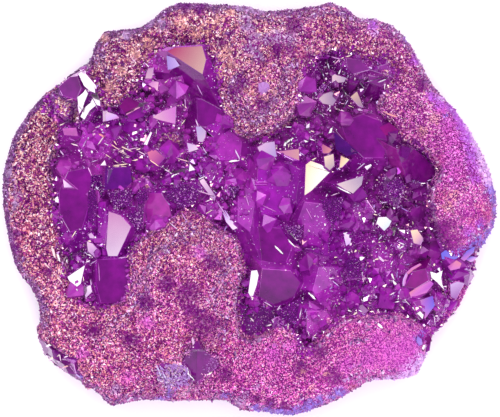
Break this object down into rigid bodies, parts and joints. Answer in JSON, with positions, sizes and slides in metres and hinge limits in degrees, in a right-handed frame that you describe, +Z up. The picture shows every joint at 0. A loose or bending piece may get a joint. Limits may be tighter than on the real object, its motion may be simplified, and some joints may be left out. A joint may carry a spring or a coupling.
{
  "type": "titanium aura quartz cluster",
  "caption": "Hand-size slab of drusy quartz with a butterfly-shaped hollow full of glassy purple points, resting on its flat cut back.",
  "frame": {"origin": "centre of the bounding box's base, on the flat cut back", "axes": "+X along the slab's long side, +Z up out of the crystal face, which is the slab's thickness"},
  "size_m": [0.1189, 0.0994, 0.0272],
  "materials": {
    "drusy_rock": "rock skinned with sugar-fine coated quartz, pink and magenta sparkle",
    "glassy_quartz": "glassy quartz points with a thin iridescent metal coat, deep purple",
    "knob_quartz": "smooth and frosted quartz with a thin iridescent metal coat",
    "notch_quartz": "small glassy quartz points with a thin iridescent metal coat"
  },
  "bodies": {
    "root": {"matrix": "drusy_rock", "hollow_crystals": "glassy_quartz", "knob_crystals": "knob_quartz", "notch_crystals": "notch_quartz"}
  },
  "joints": []
}
